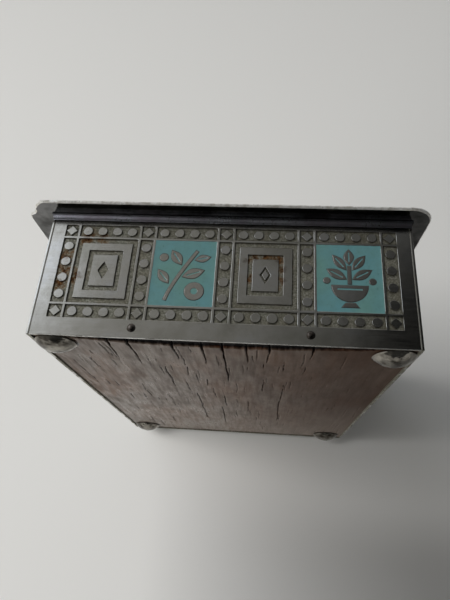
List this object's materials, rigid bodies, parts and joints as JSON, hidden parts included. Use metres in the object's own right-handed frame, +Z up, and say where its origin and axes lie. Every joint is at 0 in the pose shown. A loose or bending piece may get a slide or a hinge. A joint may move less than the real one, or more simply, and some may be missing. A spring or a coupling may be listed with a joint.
{
  "type": "metal-clad wooden box",
  "caption": "Low wooden box with a hinged overhanging lid, clad in etched metal plates with enamel panels, on domed feet.",
  "frame": {"origin": "middle of the whole outline, on the surface that the four feet stand on", "axes": "+Z up through the lid, +Y along the long sides towards the far end, +X from the hinge side to the opening side"},
  "size_m": [0.1132, 0.1434, 0.0407],
  "materials": {
    "board_wood": "bare, aged",
    "base_wood": "bare, grey, cracked",
    "plate_metal": "etched, tarnished, stained in the sunk ground",
    "enamel": "opaque turquoise enamel, soft gloss",
    "foot_metal": "worn polish, dented",
    "pin_metal": "dark iron",
    "hinge_metal": "dull brass"
  },
  "bodies": {
    "box": {"bottom_board": "base_wood", "near_board": "board_wood", "far_board": "board_wood", "hinge_board": "board_wood", "front_board": "board_wood", "near_plate": "plate_metal", "far_plate": "plate_metal", "hinge_plate": "plate_metal", "front_plate": "plate_metal", "near_enamel": "enamel", "far_enamel": "enamel", "hinge_enamel": "enamel", "front_enamel": "enamel", "near_plate_pins": "pin_metal", "far_plate_pins": "pin_metal", "hinge_plate_pins": "pin_metal", "front_plate_pins": "pin_metal", "foot_near_hinge": "foot_metal", "foot_near_front": "foot_metal", "foot_far_hinge": "foot_metal", "foot_far_front": "foot_metal", "near_hinge_body_leaf": "hinge_metal", "far_hinge_body_leaf": "hinge_metal", "near_hinge_pin": "pin_metal", "far_hinge_pin": "pin_metal", "body_leaf_screws": "pin_metal"},
    "lid": {"lid_board": "board_wood", "lid_plate": "plate_metal", "lid_enamel": "enamel", "lid_plate_pins": "pin_metal", "near_skirt": "plate_metal", "far_skirt": "plate_metal", "hinge_skirt": "plate_metal", "front_skirt": "plate_metal", "near_hinge_lid_leaf": "hinge_metal", "far_hinge_lid_leaf": "hinge_metal", "lid_leaf_screws": "pin_metal"}
  },
  "joints": [
    {"name": "lid_hinge", "type": "hinge", "parent": "box", "child": "lid", "pos_m": [-0.0499, 0, 0.0372], "axis": [0, -1, 0], "range_deg": [0, 100]}
  ]
}
